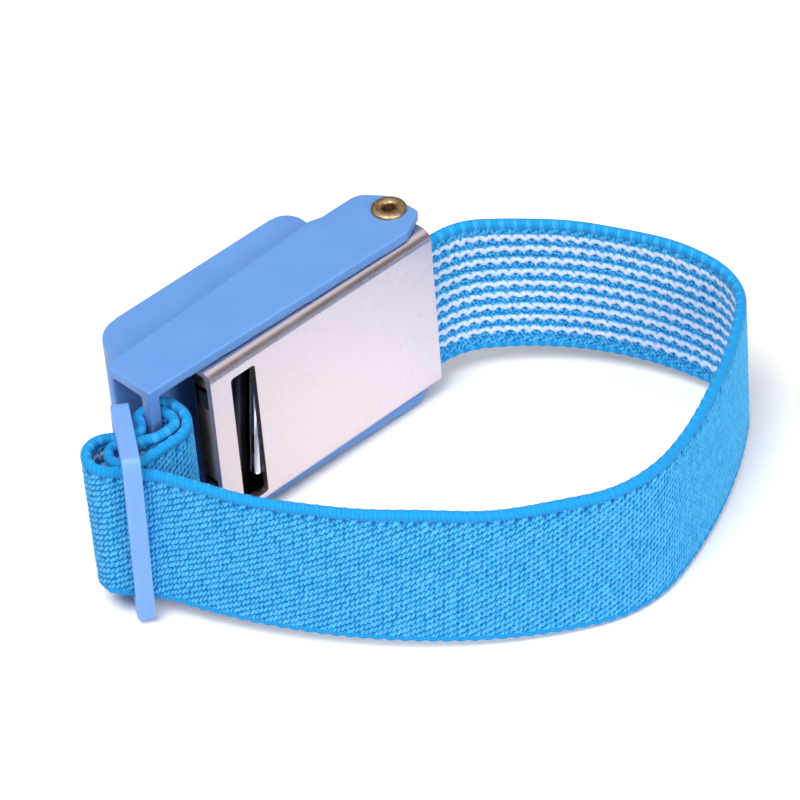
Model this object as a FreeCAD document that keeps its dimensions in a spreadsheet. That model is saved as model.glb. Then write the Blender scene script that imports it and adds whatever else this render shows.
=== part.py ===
import FreeCAD, Part
import math
import os

import Sketcher

# Cordless ESD wrist strap, standing on its edge.  Millimetres.
# Origin: centre of the skin face of the hinged clasp plate.
# +X runs along the clasp from the strap post to the hinge, -Y points to the wrist, +Z is up.

SIZES = {
    # hinged metal clasp
    "plate_length": 36.6, "plate_gauge": 0.8, "clasp_height": 24.0,
    "bend_radius": 1.3, "lip_depth": 2.4, "slot_width": 3.90, "slot_height": 20.0, "slot_inset": 3.10,
    "liner_front": 3.0, "liner_gauge": 0.4, "liner_height": 22.4,
    "ear_start": 7.5, "ear_radius": 2.4,
    # plastic frame and its cover
    "frame_left": 26.2, "frame_right": 19.1, "frame_height": 27.0, "wall_gauge": 1.4,
    "wall_front": 1.7, "wall_rake": 1.0, "base_front": 8.4, "base_gauge": 1.5,
    "post_width": 1.65, "post_depth": 1.75,
    "seam_left": 9.6, "seam_right": 11.5, "ear_back": 10.9,
    "cover_left": 23.0, "cover_right": 9.8, "cover_back": 16.8, "cover_gauge": 1.2,
    # hinge
    "hinge_x": 16.9, "hinge_y": 5.7, "rivet_radius": 1.25, "rivet_bore": 0.85,
    "rivet_head": 2.2, "head_height": 0.5, "running_gap": 0.05,
    # slider
    "slider_width": 11.2, "slider_height": 26.0, "slider_gauge": 2.2, "window_height": 21.6,
    "window_width": 4.0, "centre_bar": 1.0, "slider_x": 31.9, "slider_y": 0.2, "slider_drop": 0.4,
    "slider_turn": 56.0, "slider_tilt": 2.5,
    # webbing and roller
    "strap_width": 20.0, "strap_gauge": 1.2, "strap_middle": 1.9, "strap_drop": 0.65,
    "strap_slope": 0.0653, "roller_radius": 0.85, "roller_length": 19.1,
    "screw_x": 7.6,
}

doc = FreeCAD.newDocument("wrist_strap")
sheet = doc.addObject("Spreadsheet::Sheet", "sizes")
for row, (alias, value) in enumerate(SIZES.items(), start=1):
    sheet.set(f"A{row}", alias)
    sheet.set(f"B{row}", str(value))
    sheet.setAlias(f"B{row}", alias)
doc.recompute()


def size(alias):
    return float(sheet.get(alias))


def cell(expression):
    """Sheet expression: each size's name becomes a reference to its cell."""
    words = []
    for word in expression.replace("(", " ( ").replace(")", " ) ").split():
        words.append(f"sizes.{word}" if word in SIZES else word)
    return " ".join(words)


def bind(item, prop, expression):
    item.setExpression(prop, cell(str(expression)))


# ---------------------------------------------------------------- Part primitives

def box(name, low, high):
    """A box between two corners, each corner a triple of sheet expressions."""
    item = doc.addObject("Part::Box", name)
    for prop, start, end in zip(("Length", "Width", "Height"), low, high):
        bind(item, prop, f"( {end} ) - ( {start} )")
    for axis, start in zip("xyz", low):
        bind(item, f"Placement.Base.{axis}", start)
    return item


def cylinder(name, radius, length, base, axis=(0, 0, 1)):
    item = doc.addObject("Part::Cylinder", name)
    item.Placement.Rotation = FreeCAD.Rotation(FreeCAD.Vector(0, 0, 1), FreeCAD.Vector(*axis))
    bind(item, "Radius", radius)
    bind(item, "Height", length)
    for letter, start in zip("xyz", base):
        bind(item, f"Placement.Base.{letter}", start)
    return item


def fuse(name, items):
    item = doc.addObject("Part::MultiFuse", name)
    item.Shapes = items
    return item


def cut(name, base, tools):
    item = doc.addObject("Part::Cut", name)
    item.Base = base
    item.Tool = tools[0] if len(tools) == 1 else fuse(f"{name}_tools", tools)
    return item


def edges_where(shape, test):
    return [number for number, edge in enumerate(shape.Edges, start=1) if test(edge)]


def along(edge, direction, point, tolerance=0.01):
    """True for a straight edge in a direction whose middle has the given coordinates."""
    if edge.Curve.TypeId != "Part::GeomLine":
        return False
    run = edge.tangentAt(edge.FirstParameter)
    if abs(abs(run.dot(FreeCAD.Vector(*direction))) - 1) > tolerance:
        return False
    middle = edge.BoundBox.Center
    pairs = zip(point, (middle.x, middle.y, middle.z))
    return all(want is None or abs(want - got) < tolerance for want, got in pairs)


def rounded(name, base, radius_and_tests):
    """Fillet the straight edges that each test picks."""
    doc.recompute()
    item = doc.addObject("Part::Fillet", name)
    item.Base = base
    chosen = []
    for radius, test in radius_and_tests:
        chosen += [(number, radius, radius) for number in edges_where(base.Shape, test)]
    item.Edges = chosen
    return item


# ---------------------------------------------------------------- PartDesign helpers

def origin_plane(body, role):
    return next(item for item in body.Origin.OriginFeatures if item.Role == role)


def polygon(sketch, points):
    """A closed polygon whose corners are held by sheet expressions."""
    first = sketch.GeometryCount
    doc.recompute()
    spots = [(evaluate(x), evaluate(y)) for x, y in points]
    for index, start in enumerate(spots):
        end = spots[(index + 1) % len(spots)]
        sketch.addGeometry(Part.LineSegment(FreeCAD.Vector(*start, 0), FreeCAD.Vector(*end, 0)))
    for index in range(len(spots)):
        following = first + (index + 1) % len(spots)
        sketch.addConstraint(Sketcher.Constraint("Coincident", first + index, 2, following, 1))
    for index, (x, y) in enumerate(points):
        for kind, expression, value in zip(("DistanceX", "DistanceY"), (x, y), spots[index]):
            number = sketch.addConstraint(
                Sketcher.Constraint(kind, -1, 1, first + index, 1, value))
            bind(sketch, f"Constraints[{number}]", expression)


def evaluate(expression):
    """Value of an expression, as the sheet works it out."""
    return float(sheet.evalExpression(cell(str(expression)).replace("sizes.", "")))


def sketch_on(body, role, name, outlines):
    sketch = body.newObject("Sketcher::SketchObject", name)
    sketch.AttachmentSupport = [(origin_plane(body, role), "")]
    sketch.MapMode = "FlatFace"
    for points in outlines:
        polygon(sketch, points)
    doc.recompute()
    return sketch


def rectangle(x0, x1, y0, y1):
    return [(x0, y0), (x1, y0), (x1, y1), (x0, y1)]


def pad(body, sketch, length, name):
    item = body.newObject("PartDesign::Pad", name)
    item.Profile = sketch
    item.SideType = "Symmetric"
    bind(item, "Length", length)
    doc.recompute()
    return item


def pocket(body, sketch, length, name):
    """A pocket the same depth each side of its sketch, checked to remove material."""
    before = body.Shape.Volume
    item = body.newObject("PartDesign::Pocket", name)
    item.Profile = sketch
    item.SideType = "Symmetric"
    bind(item, "Length", length)
    doc.recompute()
    if body.Shape.Volume >= before:
        raise RuntimeError(f"{name} cuts nothing")
    return item


def fillet(body, name, radius, test):
    """Fillet on the tip's straight edges that the test picks."""
    tip = body.Tip
    names = [f"Edge{number}" for number in edges_where(tip.Shape, test)]
    item = body.newObject("PartDesign::Fillet", name)
    item.Base = (tip, names)
    item.Radius = radius
    doc.recompute()
    return item


# ---------------------------------------------------------------- plastic frame and cover

def make_buckle_frame():
    """Two side walls joined by a base and a strap post, with hinge ears at +X."""
    body = doc.addObject("PartDesign::Body", "buckle_frame")
    outline = [
        ("0 - frame_left", "wall_front"), ("post_width + 0.8 - frame_left", "wall_front"),
        ("frame_right - 3.9", "wall_front - wall_rake"), ("frame_right", "2.8"),
        ("frame_right", "7.4"),
        ("frame_right - 2.6", "ear_back"), ("10.4", "ear_back"), ("8.8", "seam_right"),
        ("0.5 - frame_left", "seam_left"), ("0 - frame_left", "seam_left - 0.5"),
    ]
    pad(body, sketch_on(body, "XY_Plane", "wall_outline", [outline]), "frame_height", "walls")
    inner = "frame_height - wall_gauge * 2"
    channel = rectangle("0 - frame_left - 1", "frame_right + 1", "0.5", "base_front")
    pocket(body, sketch_on(body, "XY_Plane", "channel_outline", [channel]), inner, "channel")
    behind = rectangle("0 - frame_left - 1", "frame_right + 1", "base_front + base_gauge", "14")
    pocket(body, sketch_on(body, "XY_Plane", "behind_outline", [behind]), inner, "behind_base")
    post = rectangle("0 - frame_left", "post_width - frame_left",
                     "wall_front", "wall_front + post_depth")
    pad(body, sketch_on(body, "XY_Plane", "post_outline", [post]), "frame_height", "strap_post")
    post_right = size("post_width") - size("frame_left")
    post_back = size("wall_front") + size("post_depth")
    spots = [(post_right, size("wall_front")), (post_right, post_back),
             (-size("frame_left"), post_back)]
    fillet(body, "post_corners", 0.4,
           lambda edge: any(along(edge, (0, 0, 1), (x, y, 0)) for x, y in spots))
    ear = size("frame_right")
    fillet(body, "ear_corners", 2.4,
           lambda edge: along(edge, (0, 0, 1), (ear, 7.4, None))
           or along(edge, (0, 0, 1), (ear - 2.6, size("ear_back"), None)))
    bored = cut("buckle_frame_bored", body, [
        cylinder("rivet_holes", "rivet_radius", "frame_height + 2",
                 ("hinge_x", "hinge_y", "0 - frame_height / 2 - 1")),
        box("leaf_slot", ("-11.9", "8", "-2.2"), ("-10.8", "11", "2.2")),
    ])
    boss = cylinder("screw_boss", "2.6", "2", ("0 - screw_x", "9.9", "0"), (0, 1, 0))
    rests = [cylinder(f"board_rest_{number}", "0.9", "3.2", (x, "9", z), (0, 1, 0))
             for number, (x, z) in enumerate([("-20", "8"), ("-20", "-8"), ("-13.2", "8"),
                                              ("-13.2", "-8")])]
    tapped = cut("frame_tapped", fuse("frame_with_bosses", [bored, boss] + rests), [
        cylinder("screw_pilot", "1.1", "6", ("0 - screw_x", "8", "0"), (0, 1, 0))])
    body.Label = "frame_body"
    tapped.Label = "buckle_frame"
    return tapped


def make_circuit_cover():
    """Deep lid between the side walls, with a recessed screw boss."""
    body = doc.addObject("PartDesign::Body", "cover_body")
    front = "base_front + base_gauge"
    outline = rectangle("0 - cover_left", "cover_right", front, "cover_back")
    pad(body, sketch_on(body, "XY_Plane", "cover_outline", [outline]), "24", "cover_block")
    back = size("cover_back")
    inner = back - size("cover_gauge")
    hollow = rectangle("cover_gauge - cover_left", "cover_right - cover_gauge", "9",
                       "cover_back - cover_gauge")
    pocket(body, sketch_on(body, "XY_Plane", "hollow_outline", [hollow]), "24 - cover_gauge * 2",
           "hollow")
    fillet(body, "hollow_corner", 3.4,
           lambda edge: along(edge, (0, 0, 1),
                              (size("cover_gauge") - size("cover_left"), inner, None)))
    fillet(body, "cover_left_corner", 4.6,
           lambda edge: along(edge, (0, 0, 1), (-size("cover_left"), back, None)))
    fillet(body, "cover_right_corner", 2.6,
           lambda edge: along(edge, (0, 0, 1), (size("cover_right"), back, None)))
    boss = cylinder("cover_boss", "3.3", "cover_back - 0.6 - 11.9",
                    ("0 - screw_x", "11.9", "0"), (0, 1, 0))
    drilled = cut("circuit_cover", fuse("cover_with_boss", [body, boss]), [
        cylinder("head_recess", "2.8", "2", ("0 - screw_x", "cover_back - 1.8", "0"), (0, 1, 0)),
        cylinder("screw_clearance", "1.3", "8", ("0 - screw_x", "11", "0"), (0, 1, 0))])
    return drilled


def make_cover_screw():
    """Pan-head screw with a cross recess, sunk in the cover's back."""
    seat = "cover_back - 1.8"
    head = cylinder("screw_head", "2.4", "1.4", ("0 - screw_x", seat, "0"), (0, 1, 0))
    shank = cylinder("screw_shank", "1.1", "cover_back - 1.8 - 8.9",
                     ("0 - screw_x", "8.9", "0"), (0, 1, 0))
    cross = [
        box("cross_x", ("0 - screw_x - 1.4", "cover_back - 1.1", "-0.25"),
            ("1.4 - screw_x", "cover_back", "0.25")),
        box("cross_z", ("0 - screw_x - 0.25", "cover_back - 1.1", "-1.4"),
            ("0.25 - screw_x", "cover_back", "1.4"))]
    return cut("cover_screw", fuse("screw_blank", [head, shank]), cross)


# ---------------------------------------------------------------- circuit inside the cover

def make_circuit():
    board = box("circuit_board", ("-21.2", "12.2", "-9.2"), ("-12", "13.2", "9.2"))
    resistor = cylinder("resistor", "1.05", "6.4", ("-17", "11.05", "-3.2"))
    leads = []
    for number, side in enumerate((1, -1)):
        start = "3.2" if side > 0 else "-5.2"
        leads.append(cylinder(f"lead_run_{number}", "0.3", "2", ("-17", "11.05", start)))
        leads.append(cylinder(f"lead_drop_{number}", "0.3", "1.15",
                              ("-17", "11.05", str(5.2 * side)), (0, 1, 0)))
        leads.append(sphere(f"lead_bend_{number}", "0.3", ("-17", "11.05", str(5.2 * side))))
    wires = fuse("resistor_leads", leads)
    bridge = fuse("bridge_wire", [
        cylinder("bridge_run", "0.35", "9.5", ("-12", "12.7", "6.5"), (1, 0, 0)),
        cylinder("bridge_drop", "0.35", "1.1", ("-2.5", "12.7", "6.5"), (0, 1, 0)),
        sphere("bridge_bend", "0.35", ("-2.5", "12.7", "6.5"))])
    plate = box("discharge_plate", ("-3.6", "13.8", "-9"), ("7.6", "14.2", "9"))
    leaf = fuse("contact_leaf", [
        box("leaf_foot", ("-12", "12.3", "-2"), ("-11.2", "12.6", "2")),
        box("leaf_stem", ("-11.5", "4.1", "-2"), ("-11.2", "12.6", "2")),
        box("leaf_tip", ("-13.9", "3.8", "-2"), ("-11.2", "4.1", "2"))])
    return [board, resistor, wires, bridge, plate, leaf]


def sphere(name, radius, centre):
    item = doc.addObject("Part::Sphere", name)
    bind(item, "Radius", radius)
    for letter, value in zip("xyz", centre):
        bind(item, f"Placement.Base.{letter}", value)
    return item


# ---------------------------------------------------------------- hinged metal clasp

def make_ear(name, low):
    """Flange that carries the rivet hole, from its start on the lip to past the hinge."""
    body = doc.addObject("PartDesign::Body", name)
    outline = [("0 - ear_start", "lip_depth - 0.4"), ("plate_length / 2", "lip_depth - 0.4"),
               ("plate_length / 2", "hinge_y"), ("plate_length / 2 - 0.6", "hinge_y + 2.1"),
               ("hinge_x", "hinge_y + ear_radius"), ("hinge_x - 2.4", "hinge_y + 2.2"),
               ("3", "4.6"), ("0 - ear_start + 1", "3.1")]
    sketch = sketch_on(body, "XY_Plane", f"{name}_outline", [outline])
    item = body.newObject("PartDesign::Pad", f"{name}_pad")
    item.Profile = sketch
    bind(item, "Length", "plate_gauge")
    bind(body, "Placement.Base.z", low)
    return body


def make_clasp_plate():
    """Skin plate bent into a channel, with a roller slot and two hinge ears."""
    half = "plate_length / 2"
    blank = box("clasp_blank", (f"0 - {half}", "0", "0 - clasp_height / 2"),
                (half, "lip_depth", "clasp_height / 2"))
    top = size("clasp_height") / 2
    bent = rounded("clasp_bent", blank, [
        (size("bend_radius"), lambda edge: along(edge, (1, 0, 0), (0, 0, top))),
        (size("bend_radius"), lambda edge: along(edge, (1, 0, 0), (0, 0, -top)))])
    inside = box("clasp_inside", (f"0 - {half} - 1", "plate_gauge",
                                  "plate_gauge - clasp_height / 2"),
                 (f"{half} + 1", "lip_depth + 1", "clasp_height / 2 - plate_gauge"))
    inner_top = top - size("plate_gauge")
    gauge = size("plate_gauge")
    relief = rounded("clasp_inside_bent", inside, [
        (size("bend_radius") - gauge, lambda edge: along(edge, (1, 0, 0), (0, gauge, inner_top))),
        (size("bend_radius") - gauge, lambda edge: along(edge, (1, 0, 0), (0, gauge, -inner_top)))])
    slot_left = f"slot_inset - {half}"
    slot = box("slot_blank", (slot_left, "-1", "0 - slot_height / 2 - 0.4"),
               (f"{slot_left} + slot_width", "1.5", "slot_height / 2 - 0.4"))
    doc.recompute()
    slot_round = rounded("slot_cut", slot, [
        (0.5, lambda edge: along(edge, (0, 1, 0), (None, None, None)))])
    channel = cut("clasp_channel", bent, [relief])
    ears = [make_ear("ear_upper", "clasp_height / 2 - plate_gauge"),
            make_ear("ear_lower", "0 - clasp_height / 2")]
    hole = cylinder("ear_holes", "rivet_radius + running_gap", "clasp_height + 2",
                    ("hinge_x", "hinge_y", "0 - clasp_height / 2 - 1"))
    plate = cut("clasp_plate", fuse("clasp_with_ears", [channel] + ears), [slot_round, hole])
    return plate


def make_clasp_liner():
    """Rear sheet that closes the clasp into a flat tube, with stops for the roller."""
    half = "plate_length / 2"
    back = "liner_front + liner_gauge"
    blank = box("liner_blank", (f"0 - {half}", "1.5", "0 - liner_height / 2"),
                (half, back, "liner_height / 2"))
    inside = box("liner_inside", (f"0 - {half} - 1", "1", "liner_gauge - liner_height / 2"),
                 (f"{half} + 1", "liner_front", "liner_height / 2 - liner_gauge"))
    shell = cut("liner_shell", blank, [inside])
    stops = [box(f"roller_stop_{number}", ("-18", "1.1", low), ("-17.5", "liner_front", high))
             for number, (low, high) in enumerate([("6", "8.5"), ("-8.5", "-6")])]
    return fuse("clasp_liner", [shell] + stops)


def make_strap_crimp():
    """Folded steel clip around the webbing's end, resting on the liner."""
    blank = box("crimp_blank", ("-7.05", "0.95", "-10.6"), ("-2.1", "liner_front", "9"))
    inside = box("crimp_inside", ("-6.75", "strap_middle - strap_gauge / 2", "-12"),
                 ("-1.7", "strap_middle + strap_gauge / 2", "10"))
    return cut("strap_crimp", blank, [inside])


def make_roller():
    """Round-ended rod that lies loose and slightly askew in the tube."""
    rod = cylinder("roller_blank", "roller_radius", "roller_length",
                   ("0", "0", "0 - roller_length / 2"))
    doc.recompute()
    item = doc.addObject("Part::Fillet", "roller_rod")
    item.Base = rod
    ends = edges_where(rod.Shape, lambda edge: edge.Curve.TypeId == "Part::GeomCircle")
    item.Edges = [(number, 0.6, 0.6) for number in ends]
    item.Placement = FreeCAD.Placement(FreeCAD.Vector(-10.3, size("strap_middle"), 0.9),
                                       FreeCAD.Rotation(FreeCAD.Vector(0, 1, 0), 6.0))
    return item


# ---------------------------------------------------------------- hinge rivets and washers

def make_hinge_rivets():
    """Two tubular rivets, one through each side wall."""
    rivets = []
    for name, up in (("upper", 1), ("lower", -1)):
        outer = size("frame_height") / 2
        inner = 10.35
        parts = []
        for part, radius, low, high in (
                ("shank", "rivet_radius", inner, outer),
                ("head", "rivet_head", outer, outer + size("head_height")),
                ("clinch", "1.9", inner, inner + 0.4)):
            start = low if up > 0 else -high
            parts.append(cylinder(f"{name}_{part}", radius, str(high - low),
                                  ("hinge_x", "hinge_y", str(start))))
        solid = fuse(f"{name}_rivet_solid", parts)
        bore = cylinder(f"{name}_bore", "rivet_bore", "8", ("hinge_x", "hinge_y",
                                                            "8" if up > 0 else "-16"))
        rivets.append(cut(f"{name}_rivet", solid, [bore]))
    return fuse("hinge_rivets", rivets)


def make_pivot_washers():
    """Ring between each rivet's clinched end and the clasp's ear."""
    rings = []
    for name, low in (("upper", "10.75"), ("lower", "-11.15")):
        disc = cylinder(f"{name}_washer_disc", "2.1", "0.4", ("hinge_x", "hinge_y", low))
        hole = cylinder(f"{name}_washer_hole", "rivet_radius", "2",
                        ("hinge_x", "hinge_y", f"{low} - 1"))
        rings.append(cut(f"{name}_washer", disc, [hole]))
    return fuse("pivot_washers", rings)


# ---------------------------------------------------------------- slider

def make_slider():
    """Three-bar slide: a tall frame with two windows either side of a thinner bar."""
    body = doc.addObject("PartDesign::Body", "slider")
    outer = rectangle("0 - slider_width / 2", "slider_width / 2",
                      "0 - slider_height / 2", "slider_height / 2")
    pad(body, sketch_on(body, "XZ_Plane", "slider_outline", [outer]), "slider_gauge", "slider_block")
    low, high = "0 - window_height / 2", "window_height / 2"
    inner, far = "centre_bar / 2", "centre_bar / 2 + window_width"
    windows = [rectangle(inner, far, low, high), rectangle(f"0 - ( {far} )", f"0 - {inner}", low, high)]
    pocket(body, sketch_on(body, "XZ_Plane", "windows_outline", windows), "slider_gauge + 2", "windows")
    half_width, half_height = size("slider_width") / 2, size("slider_height") / 2
    fillet(body, "slider_corners", 1.2,
           lambda edge: any(along(edge, (0, 1, 0), (x, None, z))
                            for x in (half_width, -half_width) for z in (half_height, -half_height)))
    thin = [box(f"bar_relief_{number}", ("0 - centre_bar", start, "0 - window_height / 2"),
                ("centre_bar", end, "window_height / 2"))
            for number, (start, end) in enumerate([("0.8", "3"), ("-3", "-0.8")])]
    item = cut("slider_relieved", body, thin)
    body.Label = "slider_body"
    item.Label = "slider"
    bind(item, "Placement.Base.x", "0 - slider_x")
    bind(item, "Placement.Base.y", "slider_y")
    bind(item, "Placement.Base.z", "0 - slider_drop")
    tilt = FreeCAD.Rotation(FreeCAD.Vector(1, 0, 0), size("slider_tilt"))
    item.Placement.Rotation = tilt * FreeCAD.Rotation(FreeCAD.Vector(0, 0, 1), size("slider_turn"))
    return item


# ---------------------------------------------------------------- webbing

# A route is a start (x, y, heading) and runs: ("line", length) or ("left" or "right", radius, turn).
# The wrist loop leaves the clasp towards +X and comes back to the slider's near window.
WRIST_LOOP = [
    ("line", 0.89), ("right", 11.4, 37.4), ("right", 38.55, 43.5), ("right", 9.0, 62.9),
    ("right", 70.5, 22.2), ("right", 17.2, 42.2), ("right", 61.2, 17.0), ("right", 78.3, 23.8),
    ("left", 8.0, 16), ("line", 1.69),
]
# Round the slider's middle bar, behind the strap post, round it and back to the near window.
ADJUSTER_LOOP = [
    ("line", 2.9), ("right", 2.763, 161), ("line", 3.042), ("left", 1.3, 99), ("line", 0.65),
    ("right", 1.3, 65), ("line", 1.708), ("right", 1.8, 90), ("line", 0.98),
    ("right", 3.2, 90), ("line", 6.266), ("right", 1.518, 53),
]
# Round the middle bar inside the loop above, then along the post's front to the sewn end.
END_LOOP = [
    ("line", 0.7), ("right", 1.821, 161), ("line", 3.263), ("left", 3.0, 34), ("line", 1.13),
    ("left", 1.6, 90), ("line", 1.6),
]
# Where the layers cross the slider, left and right of its middle bar, and how far they lean.
NEAR_LAYER = -3.12
NEAR_INNER_LAYER = -1.84
LEAN = 19
BODY_GAP = 0.06


def walk(start, runs):
    """Stations (x, y, heading in radians) at the start and after each run of a route."""
    x, y, heading = start[0], start[1], math.radians(start[2])
    stations = [(x, y, heading)]
    for run in runs:
        if run[0] == "line":
            x += run[1] * math.cos(heading)
            y += run[1] * math.sin(heading)
        else:
            side = 1 if run[0] == "left" else -1
            centre_x = x - side * run[1] * math.sin(heading)
            centre_y = y + side * run[1] * math.cos(heading)
            heading += side * math.radians(run[2])
            x = centre_x + side * run[1] * math.sin(heading)
            y = centre_y - side * run[1] * math.cos(heading)
        stations.append((x, y, heading))
    return stations


def route_length(runs):
    return sum(run[1] if run[0] == "line" else run[1] * math.radians(run[2]) for run in runs)


def bottom_height(y):
    """Height of the webbing's lower edge, which sinks gently towards the front of the loop."""
    middle = -size("strap_drop") + size("strap_slope") * (y - size("strap_middle"))
    return middle - size("strap_width") / 2


def beside(station, distance):
    """Point at a distance to the left of a station, in the plane z = 0."""
    x, y, heading = station
    return FreeCAD.Vector(x - distance * math.sin(heading), y + distance * math.cos(heading), 0)


def route_edge(run, first, last, distance):
    """Edge of one run of a route, offset sideways."""
    ends = beside(first, distance), beside(last, distance)
    if run[0] == "line":
        return Part.LineSegment(*ends).toShape()
    half = (run[0], run[1], run[2] / 2)
    middle = walk((first[0], first[1], math.degrees(first[2])), [half])[-1]
    return Part.Arc(ends[0], beside(middle, distance), ends[1]).toShape()


def slab():
    """The gently sloping layer, one webbing width thick, that every strip of webbing fills."""
    front, back, left, right = -70.0, 30.0, -60.0, 60.0
    width = size("strap_width")
    corners = [FreeCAD.Vector(left, y, bottom_height(y) + rise)
               for y, rise in ((front, 0), (back, 0), (back, width), (front, width))]
    outline = Part.makePolygon(corners + corners[:1])
    return Part.Face(outline).extrude(FreeCAD.Vector(right - left, 0, 0))


def webbing(name, start, runs):
    """A flat strip that follows a route, standing on its edge."""
    half = size("strap_gauge") / 2
    stations = walk(start, runs)
    edges = [route_edge(run, first, last, distance) for distance in (half, -half)
             for run, first, last in zip(runs, stations, stations[1:])]
    for station in (stations[0], stations[-1]):
        edges.append(Part.LineSegment(beside(station, half), beside(station, -half)).toShape())
    outline = Part.Wire(Part.__sortEdges__(edges))
    reach = size("frame_height")
    column = Part.Face(outline).extrude(FreeCAD.Vector(0, 0, 2 * reach))
    column.translate(FreeCAD.Vector(0, 0, -reach))
    item = doc.addObject("Part::Feature", name)
    item.Shape = column.common(slab())
    print(f"{name} is {route_length(runs):.1f} mm long")
    return item


def slider_spot(distance):
    """Point on the slider's own centre line, measured from its middle bar."""
    turn = math.radians(size("slider_turn"))
    return (distance * math.cos(turn) - size("slider_x"),
            size("slider_y") + distance * math.sin(turn))


def make_webbing():
    """One length of webbing, cut into the stretches that move apart."""
    across = size("slider_turn") + 90 - LEAN
    middle = size("strap_middle")
    clasp_end = webbing("strap_clasp_end", (-6.7, middle, 0), [("line", 24.9)])
    band = webbing("strap_band", (18.5, middle, 0), WRIST_LOOP)
    loop = webbing("strap_adjuster_loop", (*slider_spot(NEAR_LAYER), across), ADJUSTER_LOOP)
    gap_turn = math.radians(across)
    x, y = slider_spot(NEAR_INNER_LAYER)
    start = (x + BODY_GAP * math.cos(gap_turn), y + BODY_GAP * math.sin(gap_turn), across)
    end_loop = webbing("strap_end_loop", start, END_LOOP)
    return [clasp_end, band, loop, end_loop]


def make_stitching():
    """Thread that ties the webbing's end to the layer beside it."""
    stitches = []
    for column in range(2):
        for row in range(7):
            x, z = -26.4 + 0.8 * column, -9.3 + 2.6 * row
            stitches.append(cylinder(f"stitch_{column}_{row}", "0.2", "0.26",
                                     (str(x), "-1.31", str(z)), (0, 1, 0)))
    return fuse("end_stitching", stitches)


# ---------------------------------------------------------------- build, check and export

def faults(item):
    found = [state for state in item.State if state in ("Invalid", "Error")]
    return [f"{item.Name}: {', '.join(found)}"] if found else []


def main():
    nodes = [make_buckle_frame(), make_circuit_cover(), make_cover_screw(), *make_circuit(),
             make_clasp_plate(), make_clasp_liner(), make_strap_crimp(), make_roller(),
             make_hinge_rivets(), make_pivot_washers(), make_slider(), *make_webbing(),
             make_stitching()]
    doc.recompute()
    problems = [line for item in doc.Objects for line in faults(item)]
    for node in nodes:
        if node.Shape.isNull() or not node.Shape.isValid():
            problems.append(f"{node.Label}: bad shape")
    if problems:
        raise RuntimeError("; ".join(problems))
    os.makedirs("parts", exist_ok=True)
    for node in nodes:
        node.Shape.exportStep(f"parts/{node.Label}.step")
        box_of = node.Shape.BoundBox
        print(f"{node.Label}: {len(node.Shape.Solids)} solids, {node.Shape.Volume:.1f} mm3, "
              f"x {box_of.XMin:.2f} {box_of.XMax:.2f} y {box_of.YMin:.2f} {box_of.YMax:.2f} "
              f"z {box_of.ZMin:.2f} {box_of.ZMax:.2f}")


main()
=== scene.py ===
import math

import bmesh
import bpy
import numpy as np
from mathutils import Matrix, Vector


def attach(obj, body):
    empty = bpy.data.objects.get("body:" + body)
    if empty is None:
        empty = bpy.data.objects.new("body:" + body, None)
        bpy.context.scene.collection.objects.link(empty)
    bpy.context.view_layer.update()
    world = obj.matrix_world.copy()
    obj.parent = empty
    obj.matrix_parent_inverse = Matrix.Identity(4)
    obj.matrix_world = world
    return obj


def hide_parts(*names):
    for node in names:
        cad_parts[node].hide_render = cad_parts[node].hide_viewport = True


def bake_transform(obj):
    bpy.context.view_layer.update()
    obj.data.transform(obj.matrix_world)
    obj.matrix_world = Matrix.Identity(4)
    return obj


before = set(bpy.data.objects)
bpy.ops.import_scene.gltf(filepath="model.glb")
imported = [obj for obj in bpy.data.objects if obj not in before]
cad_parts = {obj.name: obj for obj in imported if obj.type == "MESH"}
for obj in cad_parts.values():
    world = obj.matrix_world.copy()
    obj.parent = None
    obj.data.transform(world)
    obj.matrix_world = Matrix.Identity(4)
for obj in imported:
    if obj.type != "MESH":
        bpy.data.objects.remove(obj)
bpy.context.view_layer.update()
scene = bpy.context.scene

MM = 0.001


# ---------------------------------------------------------------- camera

def make_camera():
    """Looks down over the front of the loop at the clasp, tipped slightly to one side."""
    azimuth, elevation, roll = math.radians(40.95), math.radians(40.0), math.radians(-5.0)
    target = Vector((10.9, -0.18, -10.0)) * MM
    distance = 571.4 * MM
    forward = Vector((math.sin(azimuth) * math.cos(elevation),
                      math.cos(azimuth) * math.cos(elevation), -math.sin(elevation)))
    level = Vector((math.cos(azimuth), -math.sin(azimuth), 0))
    up = level.cross(forward)
    right = math.cos(roll) * level + math.sin(roll) * up
    above = -math.sin(roll) * level + math.cos(roll) * up
    data = bpy.data.cameras.new("camera")
    data.sensor_width = 36.0
    data.lens = 207.0
    data.clip_start, data.clip_end = 0.01, 20.0
    camera = bpy.data.objects.new("camera", data)
    turn = Matrix((right, above, -forward)).transposed().to_4x4()
    camera.matrix_world = Matrix.Translation(target - forward * distance) @ turn
    scene.collection.objects.link(camera)
    scene.camera = camera


make_camera()


# ---------------------------------------------------------------- materials

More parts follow.
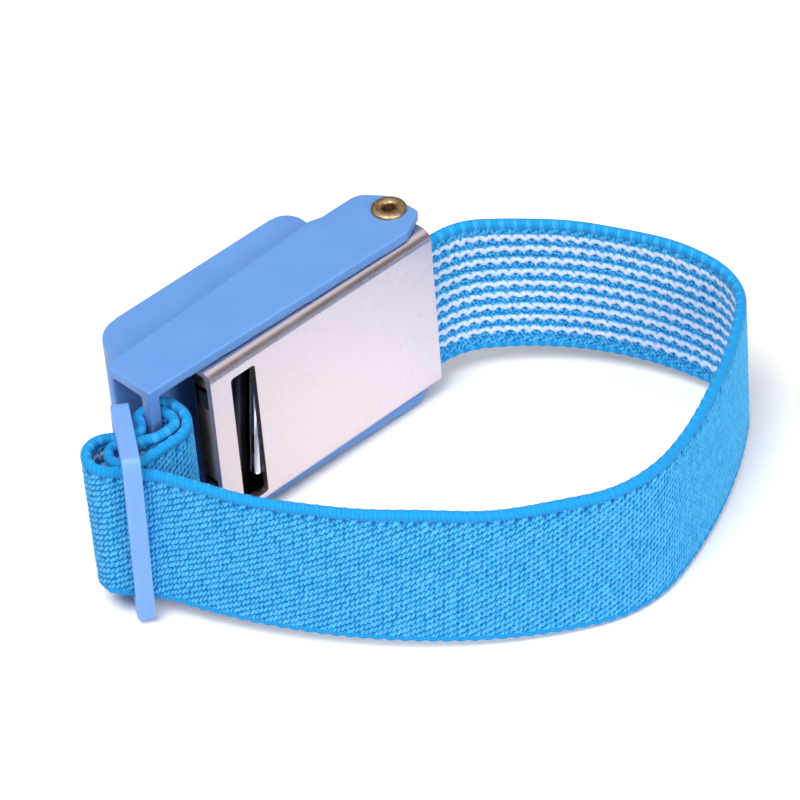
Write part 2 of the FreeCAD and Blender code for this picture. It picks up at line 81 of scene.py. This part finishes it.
class Graph:
    """Small helper for building node materials."""

    def __init__(self, name):
        self.material = bpy.data.materials.new(name)
        self.material.use_nodes = True
        self.tree = self.material.node_tree
        self.shader = self.tree.nodes["Principled BSDF"]

    def node(self, kind, **settings):
        node = self.tree.nodes.new(kind)
        for key, value in settings.items():
            setattr(node, key, value)
        return node

    def link(self, source, target):
        self.tree.links.new(source, target)

    def place(self, stretch=(1, 1, 1)):
        """Object coordinates in metres, stretched per axis."""
        coordinates = self.node("ShaderNodeTexCoord")
        mapping = self.node("ShaderNodeMapping")
        mapping.inputs["Scale"].default_value = stretch
        self.link(coordinates.outputs["Object"], mapping.inputs["Vector"])
        return mapping.outputs["Vector"]

    def noise(self, vector, scale, detail=3.0, roughness=0.5):
        node = self.node("ShaderNodeTexNoise")
        node.inputs["Scale"].default_value = scale
        node.inputs["Detail"].default_value = detail
        node.inputs["Roughness"].default_value = roughness
        self.link(vector, node.inputs["Vector"])
        return node.outputs["Fac"]

    def ramp(self, value, stops):
        node = self.node("ShaderNodeValToRGB")
        elements = node.color_ramp.elements
        while len(elements) < len(stops):
            elements.new(0.5)
        for element, (position, colour) in zip(elements, stops):
            element.position = position
            element.color = (*colour, 1.0)
        self.link(value, node.inputs["Fac"])
        return node.outputs["Color"]

    def grey(self, value, low, high, start=0.3, end=0.7):
        """A value remapped to a narrow range, for roughness."""
        node = self.node("ShaderNodeMapRange")
        for key, number in (("From Min", start), ("From Max", end), ("To Min", low), ("To Max", high)):
            node.inputs[key].default_value = number
        self.link(value, node.inputs["Value"])
        return node.outputs["Result"]

    def mix(self, factor, first, second, blend="MIX"):
        node = self.node("ShaderNodeMix", data_type="RGBA", blend_type=blend)
        self.put(node.inputs["Factor"], factor)
        self.put(node.inputs[6], first)
        self.put(node.inputs[7], second)
        return node.outputs[2]

    def put(self, socket, value):
        if isinstance(value, bpy.types.NodeSocket):
            self.link(value, socket)
        elif isinstance(value, (tuple, list)):
            socket.default_value = (*value, 1.0)
        else:
            socket.default_value = value

    def bump(self, height, strength, distance, after=None):
        node = self.node("ShaderNodeBump")
        node.inputs["Strength"].default_value = strength
        node.inputs["Distance"].default_value = distance
        self.link(height, node.inputs["Height"])
        if after is not None:
            self.link(after, node.inputs["Normal"])
        return node.outputs["Normal"]

    def set(self, **values):
        for key, value in values.items():
            self.put(self.shader.inputs[key.replace("_", " ")], value)


def moulded_plastic(name, base, deep, grain, soft):
    """Satin polyethylene: faint cloudiness, a fine skin and a little light let in."""
    g = Graph(name)
    place = g.place()
    cloud = g.noise(place, 140, 4.0)
    g.set(Base_Color=g.ramp(cloud, [(0.30, deep), (0.72, base)]))
    g.set(Roughness=g.grey(g.noise(place, 900, 3.0), 0.36, 0.50))
    skin = g.bump(g.noise(place, 2600, 3.0), 0.10, 0.00012)
    wave = g.bump(g.noise(place, grain, 2.0), 0.20, 0.00030, skin)
    g.link(wave, g.shader.inputs["Normal"])
    g.shader.inputs["Subsurface Weight"].default_value = soft
    g.shader.inputs["Subsurface Radius"].default_value = (0.6, 0.9, 1.0)
    g.shader.inputs["Subsurface Scale"].default_value = 0.0022
    g.shader.inputs["Specular IOR Level"].default_value = 0.45
    return g.material


def rolled_steel(name, light, shade, low, high, streak):
    """Cold-rolled sheet: long fine streaks, faint mottling and handling marks."""
    g = Graph(name)
    lines = g.noise(g.place((60, 1600, 1600)), streak, 2.0)
    patches = g.noise(g.place(), 170, 5.0, 0.6)
    marks = g.noise(g.place((300, 90, 90)), 3.0, 6.0, 0.7)
    tone = g.ramp(patches, [(0.32, shade), (0.62, light)])
    g.set(Base_Color=g.mix(0.10, tone, g.ramp(lines, [(0.35, shade), (0.65, light)])))
    g.set(Roughness=g.grey(patches, low, high))
    fine = g.bump(lines, 0.10, 0.00004)
    worn = g.bump(marks, 0.035, 0.00010, fine)
    g.link(worn, g.shader.inputs["Normal"])
    g.shader.inputs["Metallic"].default_value = 1.0
    return g.material


def plain_metal(name, light, dark, low, high, scale=600, strength=0.15):
    """Small metal part with uneven tone and fine wear."""
    g = Graph(name)
    place = g.place()
    spots = g.noise(place, scale, 6.0, 0.7)
    g.set(Base_Color=g.ramp(spots, [(0.30, dark), (0.60, light)]))
    g.set(Roughness=g.grey(g.noise(place, scale * 2, 4.0), low, high))
    g.link(g.bump(spots, strength, 0.00008), g.shader.inputs["Normal"])
    g.shader.inputs["Metallic"].default_value = 1.0
    return g.material


def board_laminate(name):
    g = Graph(name)
    weave = g.noise(g.place(), 2200, 2.0)
    g.set(Base_Color=g.ramp(weave, [(0.3, (0.01, 0.10, 0.05)), (0.7, (0.03, 0.20, 0.10))]))
    g.set(Roughness=g.grey(weave, 0.35, 0.5))
    return g.material


def resistor_coat(name):
    """Tan body with coloured rings."""
    g = Graph(name)
    coordinates = g.node("ShaderNodeTexCoord")
    split = g.node("ShaderNodeSeparateXYZ")
    g.link(coordinates.outputs["Object"], split.inputs["Vector"])
    along = g.grey(split.outputs["Z"], 0.0, 1.0, -0.0032, 0.0032)
    tan, red, dark = (0.55, 0.40, 0.22), (0.45, 0.03, 0.02), (0.05, 0.03, 0.02)
    bands = g.ramp(along, [(0.0, tan), (0.20, dark), (0.28, tan), (0.38, red), (0.46, tan),
                           (0.56, red), (0.64, tan), (0.80, dark), (0.87, tan)])
    bands.node.color_ramp.interpolation = "CONSTANT"
    g.set(Base_Color=bands, Roughness=g.grey(g.noise(g.place(), 900), 0.3, 0.45))
    return g.material


def knitted_yarn(name):
    """Coloured and white yarn: the mesh says how deep each point lies and which yarn it is, and deeper
    points get painted shade.
    """
    g = Graph(name)
    depth = g.node("ShaderNodeAttribute", attribute_name="depth").outputs["Fac"]
    white = g.node("ShaderNodeAttribute", attribute_name="white").outputs["Fac"]
    tint = g.node("ShaderNodeAttribute", attribute_name="tint").outputs["Fac"]
    place = g.place()
    fibre = g.noise(place, 5200, 4.0, 0.65)
    # Blue yarn darkens with depth: painted shade in the gaps between stitches.
    blue_with_painted_shade = g.ramp(depth, [(0.0, (0.001, 0.115, 0.36)), (0.45, (0.010, 0.27, 0.62)),
                          (1.0, (0.085, 0.50, 0.89))])
    paler = g.mix(tint, blue_with_painted_shade, (0.12, 0.54, 0.92))
    # White yarn turns blue-grey with depth: painted shade in the gaps.
    pale = g.ramp(depth, [(0.0, (0.12, 0.42, 0.78)), (0.40, (0.38, 0.58, 0.84)),
                          (1.0, (0.71, 0.74, 0.86))])
    yarn = g.mix(white, paler, pale)
    fuzz = g.ramp(fibre, [(0.25, (0.78, 0.80, 0.84)), (0.65, (1.0, 1.0, 1.0))])
    g.set(Base_Color=g.mix(0.55, yarn, fuzz, "MULTIPLY"), Roughness=g.grey(fibre, 0.72, 0.92))
    g.link(g.bump(fibre, 0.35, 0.00010), g.shader.inputs["Normal"])
    g.shader.inputs["Specular IOR Level"].default_value = 0.12
    g.shader.inputs["Sheen Weight"].default_value = 0.12
    g.shader.inputs["Sheen Roughness"].default_value = 0.4
    return g.material


def sewing_thread(name):
    g = Graph(name)
    twist = g.noise(g.place((1, 1, 3)), 4000, 2.0)
    g.set(Base_Color=g.ramp(twist, [(0.3, (0.55, 0.62, 0.74)), (0.7, (0.80, 0.84, 0.90))]))
    g.set(Roughness=g.grey(twist, 0.6, 0.8))
    return g.material


def pale_floor(name):
    g = Graph(name)
    cloud = g.noise(g.place(), 3.0)
    g.set(Base_Color=g.ramp(cloud, [(0.3, (0.94, 0.94, 0.94)), (0.7, (0.95, 0.95, 0.95))]))
    g.shader.inputs["Roughness"].default_value = 0.9
    g.shader.inputs["Specular IOR Level"].default_value = 0.1
    return g.material


PLASTIC = moulded_plastic("frame_plastic", (0.122, 0.282, 0.610), (0.108, 0.260, 0.585), 260, 0.25)
SLIDER_PLASTIC = moulded_plastic("slider_plastic", (0.160, 0.335, 0.83), (0.145, 0.310, 0.80), 420, 0.35)
PLATE = rolled_steel("plate_steel", (0.725, 0.625, 0.650), (0.685, 0.590, 0.620), 0.24, 0.34, 1.0)
# Near-black steel: painted shade for the dark inside of the clasp tube.
LINER_PAINTED_SHADE = rolled_steel("liner_steel", (0.10, 0.10, 0.11), (0.06, 0.06, 0.07), 0.16, 0.28, 1.0)
ROD = plain_metal("rod_chrome", (0.88, 0.88, 0.90), (0.80, 0.80, 0.83), 0.07, 0.14, 500, 0.05)
BRASS = plain_metal("rivet_brass", (0.60, 0.42, 0.24), (0.24, 0.14, 0.06), 0.30, 0.55, 1800, 0.50)
LEAF_BRASS = plain_metal("leaf_brass", (0.80, 0.62, 0.30), (0.70, 0.52, 0.24), 0.22, 0.35, 500, 0.10)
TINNED = plain_metal("tinned_wire", (0.72, 0.72, 0.74), (0.60, 0.60, 0.62), 0.25, 0.40, 900, 0.20)
SCREW = plain_metal("screw_steel", (0.62, 0.62, 0.65), (0.45, 0.45, 0.48), 0.22, 0.38, 900, 0.20)
BOARD = board_laminate("board_laminate")
RESISTOR = resistor_coat("resistor_coat")
YARN = knitted_yarn("webbing_yarn")
THREAD = sewing_thread("sewing_thread")

CARRIED_OVER = {
    # The clasp liner and the strap crimp take that near-black painted shade.
    "clasp_plate": PLATE, "clasp_liner": LINER_PAINTED_SHADE, "strap_crimp": LINER_PAINTED_SHADE, "roller_rod": ROD,
    "pivot_washers": LEAF_BRASS, "contact_leaf": LEAF_BRASS, "discharge_plate": LEAF_BRASS,
    "bridge_wire": TINNED, "resistor_leads": TINNED, "cover_screw": SCREW,
    "circuit_board": BOARD, "resistor": RESISTOR,
}


def paint(obj, material):
    if not obj.data.materials:
        obj.data.materials.append(material)
    for slot in obj.material_slots:
        slot.material = material


def shade_by_angle(obj, degrees=35):
    """Smooth faces, with creases kept where the surface turns sharply."""
    obj.data.shade_smooth()
    work = bmesh.new()
    work.from_mesh(obj.data)
    for edge in work.edges:
        edge.smooth = len(edge.link_faces) == 2 and edge.calc_face_angle() < math.radians(degrees)
    work.to_mesh(obj.data)
    work.free()


for node, material in CARRIED_OVER.items():
    paint(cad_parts[node], material)


# ---------------------------------------------------------------- moulded plastic pieces

SLIDER_TURN, SLIDER_TILT = math.radians(56.0), math.radians(2.5)
SLIDER_POSE = Matrix.Rotation(SLIDER_TILT, 4, "X") @ Matrix.Rotation(SLIDER_TURN, 4, "Z")


def moulded(name, node, body, material, voxel, rounds, pose=Matrix.Identity(4)):
    """A copy of a CAD solid with the soft edges of a moulding, made in its own straight position."""
    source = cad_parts[node].data
    mesh = source.copy()
    mesh.name = name
    piece = bpy.data.objects.new(name, mesh)
    scene.collection.objects.link(piece)
    mesh.transform(pose.inverted())
    work = bmesh.new()
    work.from_mesh(mesh)
    bmesh.ops.remove_doubles(work, verts=work.verts, dist=1e-7)
    work.to_mesh(mesh)
    work.free()
    remesh = piece.modifiers.new("remesh", "REMESH")
    remesh.mode = "VOXEL"
    remesh.voxel_size = voxel
    smooth = piece.modifiers.new("smooth", "SMOOTH")
    smooth.factor = 0.5
    smooth.iterations = rounds
    bpy.context.view_layer.update()
    evaluated = piece.evaluated_get(bpy.context.evaluated_depsgraph_get())
    final = bpy.data.meshes.new_from_object(evaluated)
    piece.modifiers.clear()
    piece.data = final
    final.transform(pose)
    final.shade_smooth()
    final.materials.clear()
    final.materials.append(material)
    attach(piece, body)
    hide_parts(node)
    return piece


moulded("frame_moulding", "buckle_frame", "frame_body", PLASTIC,
         voxel=0.16 * MM, rounds=7)
moulded("cover_moulding", "circuit_cover", "frame_body", PLASTIC,
         voxel=0.16 * MM, rounds=9)
moulded("slide_moulding", "slider", "slider_body", SLIDER_PLASTIC,
         voxel=0.13 * MM, rounds=8, pose=SLIDER_POSE)


# ---------------------------------------------------------------- hinge rivets

HINGE_X, HINGE_Y = 16.9, 5.7
BORE, SHANK, HEAD = 0.86, 1.25, 2.25
SHANK_END, FRAME_TOP, HEAD_HEIGHT = 10.35, 13.5, 0.48
RIVET_SIDES = 72


def rivet_profile():
    """Radius and height: a rim rolled outwards over the wall, then down the shank."""
    sweep = np.linspace(math.pi, 0, 19)
    radius = (BORE + HEAD) / 2 + (HEAD - BORE) / 2 * np.cos(sweep)
    height = FRAME_TOP + HEAD_HEIGHT * np.clip(np.sin(sweep), 0, 1) ** 0.6
    return (np.concatenate([[BORE, BORE], radius, [SHANK, SHANK]]),
            np.concatenate([[SHANK_END, 12.0], height, [FRAME_TOP, SHANK_END]]))


def turned_rivet(name, side):
    """Tubular brass rivet, its rim a little uneven from the press and from wear."""
    radius, height = rivet_profile()
    angle = np.linspace(0, 2 * math.pi, RIVET_SIDES, endpoint=False)[:, None]
    worn = 0.020 * np.sin(3 * angle + 1.0) + 0.012 * np.sin(7 * angle) + 0.008 * np.sin(13 * angle)
    on_rim = np.clip((height - FRAME_TOP) / HEAD_HEIGHT, 0, 1)[None]
    r = radius[None] + worn * on_rim * np.where(radius[None] > SHANK, 1.0, -1.0)
    z = side * (height[None] - 0.5 * np.abs(worn) * on_rim)
    x = HINGE_X + r * np.cos(angle)
    y = HINGE_Y + r * np.sin(angle)
    points = np.stack([x, y, z], -1).reshape(-1, 3) * MM
    index = np.arange(r.size).reshape(r.shape)
    around, along = np.roll(index, -1, 0), np.roll(index, -1, 1)
    both = np.roll(around, -1, 1)
    faces = np.stack([index, around, both, along] if side < 0 else [index, along, both, around], -1)
    mesh = bpy.data.meshes.new(name)
    mesh.from_pydata(points.tolist(), [], faces.reshape(-1, 4).tolist())
    piece = bpy.data.objects.new(name, mesh)
    scene.collection.objects.link(piece)
    shade_by_angle(piece)
    paint(piece, BRASS)
    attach(piece, "frame_body")
    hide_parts("hinge_rivets")


turned_rivet("rivet_upper", 1)
turned_rivet("rivet_lower", -1)


# ---------------------------------------------------------------- webbing

# Routes in millimetres, the same as the solids follow.
CLASP_RUN = [("line", 25.05)]
WRIST_LOOP = [
    ("line", 0.89), ("right", 11.4, 37.4), ("right", 38.55, 43.5), ("right", 9.0, 62.9),
    ("right", 70.5, 22.2), ("right", 17.2, 42.2), ("right", 61.2, 17.0), ("right", 78.3, 23.8),
    ("left", 8.0, 16), ("line", 1.69),
]
ADJUSTER_LOOP = [
    ("line", 2.9), ("right", 2.763, 161), ("line", 3.042), ("left", 1.3, 99), ("line", 0.65),
    ("right", 1.3, 65), ("line", 1.708), ("right", 1.8, 90), ("line", 0.98),
    ("right", 3.2, 90), ("line", 6.266), ("right", 1.518, 53),
]
END_LOOP = [
    ("line", 0.7), ("right", 1.821, 161), ("line", 3.263), ("left", 3.0, 34), ("line", 1.13),
    ("left", 1.6, 90), ("line", 1.6),
]
STRAP_WIDTH, STRAP_MIDDLE, STRAP_DROP, STRAP_SLOPE = 20.0, 1.9, 0.65, 0.0653
SLIDER_X, SLIDER_Y = -31.9, 0.2
NEAR_LAYER, NEAR_INNER_LAYER, END_GAP, LEAN = -3.12, -1.84, 0.06, 19.0
CORD_RADIUS = 0.62
BODY_HALF = 0.47
ALONG_STEP, OUTER_STEP, INNER_STEP = 0.13, 0.14, 0.17


def run_length(run):
    return run[1] if run[0] == "line" else run[1] * math.radians(run[2])


def route_length(runs):
    return sum(run_length(run) for run in runs)


def trace(start, runs, distances):
    """Position and heading of a route at the given distances along it."""
    x, y, heading = start[0], start[1], math.radians(start[2])
    found = np.zeros((len(distances), 3))
    passed = 0.0
    for number, run in enumerate(runs):
        length = run_length(run)
        last = number == len(runs) - 1
        here = (distances >= passed - 1e-9) & ((distances < passed + length) | last)
        local = distances[here] - passed
        if run[0] == "line":
            found[here] = np.stack([x + local * math.cos(heading), y + local * math.sin(heading),
                                    np.full(len(local), heading)], 1)
            x, y = x + length * math.cos(heading), y + length * math.sin(heading)
        else:
            side = 1 if run[0] == "left" else -1
            centre = (x - side * run[1] * math.sin(heading), y + side * run[1] * math.cos(heading))
            turned = heading + side * local / run[1]
            found[here] = np.stack([centre[0] + side * run[1] * np.sin(turned),
                                    centre[1] - side * run[1] * np.cos(turned), turned], 1)
            heading += side * length / run[1]
            x = centre[0] + side * run[1] * math.sin(heading)
            y = centre[1] - side * run[1] * math.cos(heading)
        passed += length
    return found


def scatter(first, second, seed):
    """Repeatable pseudo-random numbers from 0 to 1 for pairs of whole numbers."""
    value = np.sin(first * 127.1 + second * 311.7 + seed * 74.7) * 43758.5453
    return value - np.floor(value)


def stitches(along, across, knit, jitter):
    """Height, whiteness and tint of a repeating patch of rounded stitches.

    Each blob is (along, across, half length, half width, lean in degrees, height, white)."""
    cell, shift, climb, blobs = knit
    across = across - climb * along
    height = np.zeros_like(along)
    white = np.zeros_like(along)
    tint = np.zeros_like(along)
    row = np.floor(across / cell[1])
    for row_step in (-1, 0, 1):
        this_row = row + row_step
        moved = along - this_row * shift
        column = np.floor(moved / cell[0])
        for column_step in (-1, 0, 1):
            this_column = column + column_step
            for number, (da, dc, long, wide, lean, tall, pale) in enumerate(blobs):
                wobble_a = (scatter(this_column, this_row, number) - 0.5) * jitter
                wobble_c = (scatter(this_column, this_row, number + 40) - 0.5) * jitter
                a = moved - (this_column + 0.5) * cell[0] - da - wobble_a
                c = across - (this_row + 0.5) * cell[1] - dc - wobble_c
                turn = math.radians(lean)
                p = (a * math.cos(turn) + c * math.sin(turn)) / long
                q = (c * math.cos(turn) - a * math.sin(turn)) / wide
                size = tall * (0.88 + 0.24 * scatter(this_column, this_row, number + 80))
                rise = size * np.sqrt(np.clip(1 - p * p - q * q, 0, 1))
                better = rise > height
                height = np.where(better, rise, height)
                white = np.where(better, pale, white)
                tint = np.where(better, scatter(this_column, this_row, number + 120), tint)
    return height, white, tint


# Lengths here are in millimetres of webbing.
# Each knit: cell along and across, sideways shift per row, climb of the rows, and its blobs.
OUTER_KNIT = ((0.566, 0.875), 0.057, 0.533, [(0.0, 0.0, 0.50, 0.235, 58, 1.0, 0.0)])
INNER_KNIT = ((1.64, 1.82), 0.22, 0.0, [
    (-0.50, 0.30, 0.46, 0.40, -32, 0.94, 1.0), (-0.02, 0.00, 0.52, 0.40, 0, 0.90, 1.0),
    (0.46, 0.32, 0.46, 0.42, 35, 1.05, 1.0), (0.0, 0.62, 0.20, 0.20, 0, 0.70, 0.0),
    (-0.56, -0.50, 0.25, 0.26, 0, 0.80, 0.0), (0.0, -0.62, 0.26, 0.25, 0, 0.84, 0.0),
    (0.55, -0.46, 0.25, 0.25, 0, 0.80, 0.0), (-0.30, -1.02, 0.25, 0.20, 0, 0.66, 0.0),
    (0.28, -1.04, 0.25, 0.20, 0, 0.66, 0.0), (0.80, -0.92, 0.22, 0.20, 0, 0.60, 0.0),
])
KNIT_JITTER = {"outer": 0.10, "inner": 0.12}
INNER_SHIFT, BORDER = 0.14, 1.7
NOTCH_PITCH, NOTCH_DEPTH = 1.64, 0.7
NOTCH_FROM_TOP, NOTCH_REACH, NOTCH_FADE = 1.45, 1.6, 0.40
RIB_PITCH = 4 * ALONG_STEP
CORD_HEIGHT, RIB_HEIGHT, DRIFT_HEIGHT, TUFT_HEIGHT = 0.40, 0.09, 0.02, 0.26
OUTER_GAUGE, INNER_GAUGE, CORD_GAUGE = 0.22, 0.20, 0.24
CORD_SINK, FACE_SINK = 0.10, 0.04
RIB_SLANT = 0.35
SCALLOP = 0.10
EDGE_WAVES = ((0.16, 4.1, 0.0), (0.10, 2.3, 1.0))
CORD_POINTS = 13


def section():
    """Points round the webbing's cross-section: across, out of the face, which part."""
    spread = math.radians(35)
    margin = CORD_RADIUS * 1.6
    outer = np.arange(margin, STRAP_WIDTH - margin, OUTER_STEP)
    inner = np.arange(margin, STRAP_WIDTH - margin, INNER_STEP)[::-1]
    roll = np.linspace(-spread, math.pi + spread, CORD_POINTS)
    across = np.concatenate([
        outer, STRAP_WIDTH - CORD_RADIUS + CORD_RADIUS * np.sin(roll),
        inner, CORD_RADIUS - CORD_RADIUS * np.sin(roll)])
    out = np.concatenate([
        np.full(len(outer), BODY_HALF), CORD_RADIUS * np.cos(roll),
        np.full(len(inner), -BODY_HALF), -CORD_RADIUS * np.cos(roll)])
    part = np.concatenate([np.full(len(outer), 0), np.full(len(roll), 1),
                           np.full(len(inner), 2), np.full(len(roll), 3)])
    return across, out, part


def relief(along, across, out, part):
    """Height of the knit above the plain section, its whiteness and its tint."""
    height, white, tint = (np.zeros_like(along) for _ in range(3))
    outer, inner, cord = part == 0, part == 2, (part == 1) | (part == 3)
    h, w, t = stitches(-along[outer], across[outer], OUTER_KNIT, KNIT_JITTER["outer"])
    notch = np.clip(np.cos(2 * math.pi * along[outer] / NOTCH_PITCH), 0, 1) ** 2
    from_top = STRAP_WIDTH - across[outer]
    notch = notch * np.clip(NOTCH_REACH - np.abs(from_top - NOTCH_FROM_TOP) / NOTCH_FADE, 0, 1)
    h = h * (1 - notch) - NOTCH_DEPTH * notch
    height[outer], white[outer], tint[outer] = h, w, t
    h, w, t = stitches(along[inner], across[inner] - INNER_SHIFT, INNER_KNIT, KNIT_JITTER["inner"])
    border = (across[inner] < BORDER) | (across[inner] > STRAP_WIDTH - BORDER)
    edge_h, _, edge_t = stitches(along[inner], across[inner], OUTER_KNIT, KNIT_JITTER["outer"])
    height[inner] = np.where(border, edge_h, h)
    white[inner] = np.where(border, 0, w)
    tint[inner] = np.where(border, edge_t, t)
    turn = np.arctan2(out[cord], across[cord] - np.where(part[cord] == 1, STRAP_WIDTH, 0))
    ribs = 0.5 + 0.5 * np.cos(2 * math.pi * (along[cord] / RIB_PITCH + turn * RIB_SLANT))
    tufts = (0.5 + 0.5 * np.cos(2 * math.pi * along[cord] / NOTCH_PITCH)) ** 3
    inward = np.clip(0.35 - out[cord] / CORD_RADIUS, 0, 1)
    drift = np.sin(7.3 * along[cord] + 2 * turn) + np.sin(11.9 * along[cord] - 3 * turn)
    height[cord] = (CORD_HEIGHT + RIB_HEIGHT * ribs + DRIFT_HEIGHT * drift
                    + TUFT_HEIGHT * tufts * inward)
    return height, white, tint


def raised(along, across, out, part, height):
    """The section's points moved out by the knit's relief, with a loose upper and lower edge."""
    gauge = np.select([part == 0, part == 2], [OUTER_GAUGE, INNER_GAUGE], CORD_GAUGE)
    on_cord = (part == 1) | (part == 3)
    cord_centre = np.where(part == 1, STRAP_WIDTH - CORD_RADIUS, CORD_RADIUS)
    rise = height * gauge - np.where(on_cord, CORD_SINK, FACE_SINK)
    across_way = np.where(on_cord, (across - cord_centre) / CORD_RADIUS, 0)
    out_way = np.where(on_cord, out / CORD_RADIUS, np.sign(out))
    across = across + across_way * rise
    out = out + out_way * rise
    wave = sum(tall * np.sin(along / length + phase) for tall, length, phase in EDGE_WAVES)
    from_middle = (across - STRAP_WIDTH / 2) / (STRAP_WIDTH / 2)
    scallop = np.where(part == 3, SCALLOP * np.cos(2 * math.pi * along / NOTCH_PITCH), 0)
    return across + wave * np.clip(from_middle, 0, 1) ** 3 + scallop, out


def webbing_piece(name, start, runs, first, last, offset, node):
    """One stretch of webbing from first to last along its route, closed at both ends."""
    steps = max(2, int(round((last - first) / ALONG_STEP)))
    distances = np.linspace(first, last, steps + 1)
    line = trace(start, runs, distances)
    across, out, part = section()
    rows, columns = len(distances), len(across)
    along = np.repeat((distances + offset)[:, None], columns, 1)
    t = np.repeat(across[None], rows, 0)
    n = np.repeat(out[None], rows, 0)
    kind = np.repeat(part[None], rows, 0)
    height, white, tint = (v.reshape(rows, columns) for v in relief(
        along.ravel(), t.ravel(), n.ravel(), kind.ravel()))
    t, n = raised(along, t, n, kind, height)
    heading = line[:, 2][:, None]
    x = line[:, 0][:, None] - n * np.sin(heading)
    y = line[:, 1][:, None] + n * np.cos(heading)
    middle = -STRAP_DROP + STRAP_SLOPE * (y - STRAP_MIDDLE)
    z = middle - STRAP_WIDTH / 2 + t
    points = np.stack([x, y, z], -1).reshape(-1, 3) * MM
    index = np.arange(rows * columns).reshape(rows, columns)
    nxt = np.roll(index, -1, 1)
    faces = np.stack([index[:-1], index[1:], nxt[1:], nxt[:-1]], -1).reshape(-1, 4)
    mesh = bpy.data.meshes.new(name)
    ends = [list(index[0]), list(index[-1][::-1])]
    mesh.from_pydata(points.tolist(), [], faces.tolist() + ends)
    # Depth carries the painted shade of the gaps between stitches into the yarn's colour.
    yarn_values = {"depth": np.clip(height, 0, 1), "white": white, "tint": tint * 0.5}
    for key, values in yarn_values.items():
        layer = mesh.attributes.new(key, "FLOAT", "POINT")
        layer.data.foreach_set("value", values.ravel().astype(np.float32))
    mesh.shade_smooth()
    mesh.update()
    piece = bpy.data.objects.new(name, mesh)
    scene.collection.objects.link(piece)
    paint(piece, YARN)
    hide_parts(node)
    return piece


def slider_spot(distance):
    return (SLIDER_X + distance * math.cos(SLIDER_TURN), SLIDER_Y + distance * math.sin(SLIDER_TURN))


def make_webbing():
    across = math.degrees(SLIDER_TURN) + 90 - LEAN
    clasp_start = (-6.7, STRAP_MIDDLE, 0)
    loop_start = (18.35, STRAP_MIDDLE, 0)
    loop = [("line", 0.15)] + WRIST_LOOP
    total = route_length(loop)
    hinge_side, slide_side = 22.0, total - 26.0
    clasp_length = route_length(CLASP_RUN)
    inside = webbing_piece("webbing_in_clasp", clasp_start, CLASP_RUN, 0, clasp_length, 0,
                           "strap_clasp_end")
    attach(inside, "clasp")
    hinge = webbing_piece("webbing_hinge_side", loop_start, loop, 0, hinge_side, clasp_length,
                          "strap_band")
    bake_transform(hinge)
    front = webbing_piece("webbing_front", loop_start, loop, hinge_side, slide_side, clasp_length,
                          "strap_band")
    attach(front, "frame_body")
    near = webbing_piece("webbing_slide_side", loop_start, loop, slide_side, total, clasp_length,
                         "strap_band")
    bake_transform(near)
    offset = clasp_length + total
    turn_length = route_length(ADJUSTER_LOOP)
    adjuster = webbing_piece("webbing_adjuster", (*slider_spot(NEAR_LAYER), across), ADJUSTER_LOOP, 0,
                             turn_length, offset, "strap_adjuster_loop")
    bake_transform(adjuster)
    end_length = route_length(END_LOOP)
    along = math.radians(across)
    x, y = slider_spot(NEAR_INNER_LAYER)
    end_start = (x + END_GAP * math.cos(along), y + END_GAP * math.sin(along), across)
    end = webbing_piece("webbing_end", end_start, END_LOOP, 0, end_length, offset + turn_length,
                        "strap_end_loop")
    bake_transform(end)


make_webbing()
paint(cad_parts["end_stitching"], THREAD)


# ---------------------------------------------------------------- floor and light

def make_floor():
    half, height = 1.5, -14.05 * MM
    mesh = bpy.data.meshes.new("floor")
    corners = [(-half, -half, height), (half, -half, height),
               (half, half, height), (-half, half, height)]
    mesh.from_pydata(corners, [], [(0, 1, 2, 3)])
    floor = bpy.data.objects.new("floor", mesh)
    scene.collection.objects.link(floor)
    paint(floor, pale_floor("pale_floor"))


def area_light(name, place, target, size, power):
    data = bpy.data.lights.new(name, "AREA")
    data.shape = "DISK"
    data.size = size
    data.energy = power
    light = bpy.data.objects.new(name, data)
    light.location = place
    light.rotation_euler = (Vector(target) - Vector(place)).to_track_quat("-Z", "Y").to_euler()
    scene.collection.objects.link(light)


def make_lights():
    area_light("key_light", (-0.35, -0.10, 0.75), (0, 0, 0), 0.5, 6.0)
    area_light("fill_light", (-0.12, -0.88, 0.42), (0, 0, 0), 0.5, 5.0)
    world = bpy.data.worlds.new("studio")
    world.use_nodes = True
    background = world.node_tree.nodes["Background"]
    tree = world.node_tree
    place = tree.nodes.new("ShaderNodeTexCoord")
    split = tree.nodes.new("ShaderNodeSeparateXYZ")
    tree.links.new(place.outputs["Generated"], split.inputs["Vector"])
    ramp = tree.nodes.new("ShaderNodeValToRGB")
    low, high = ramp.color_ramp.elements
    low.position, low.color = 0.62, (0.15, 0.14, 0.14, 1.0)
    high.position, high.color = 0.85, (1.0, 1.0, 1.0, 1.0)
    tree.links.new(split.outputs["Z"], ramp.inputs["Fac"])
    tree.links.new(ramp.outputs["Color"], background.inputs["Color"])
    background.inputs["Strength"].default_value = 1.0
    scene.world = world
    scene.view_settings.view_transform = "Standard"


make_floor()
make_lights()
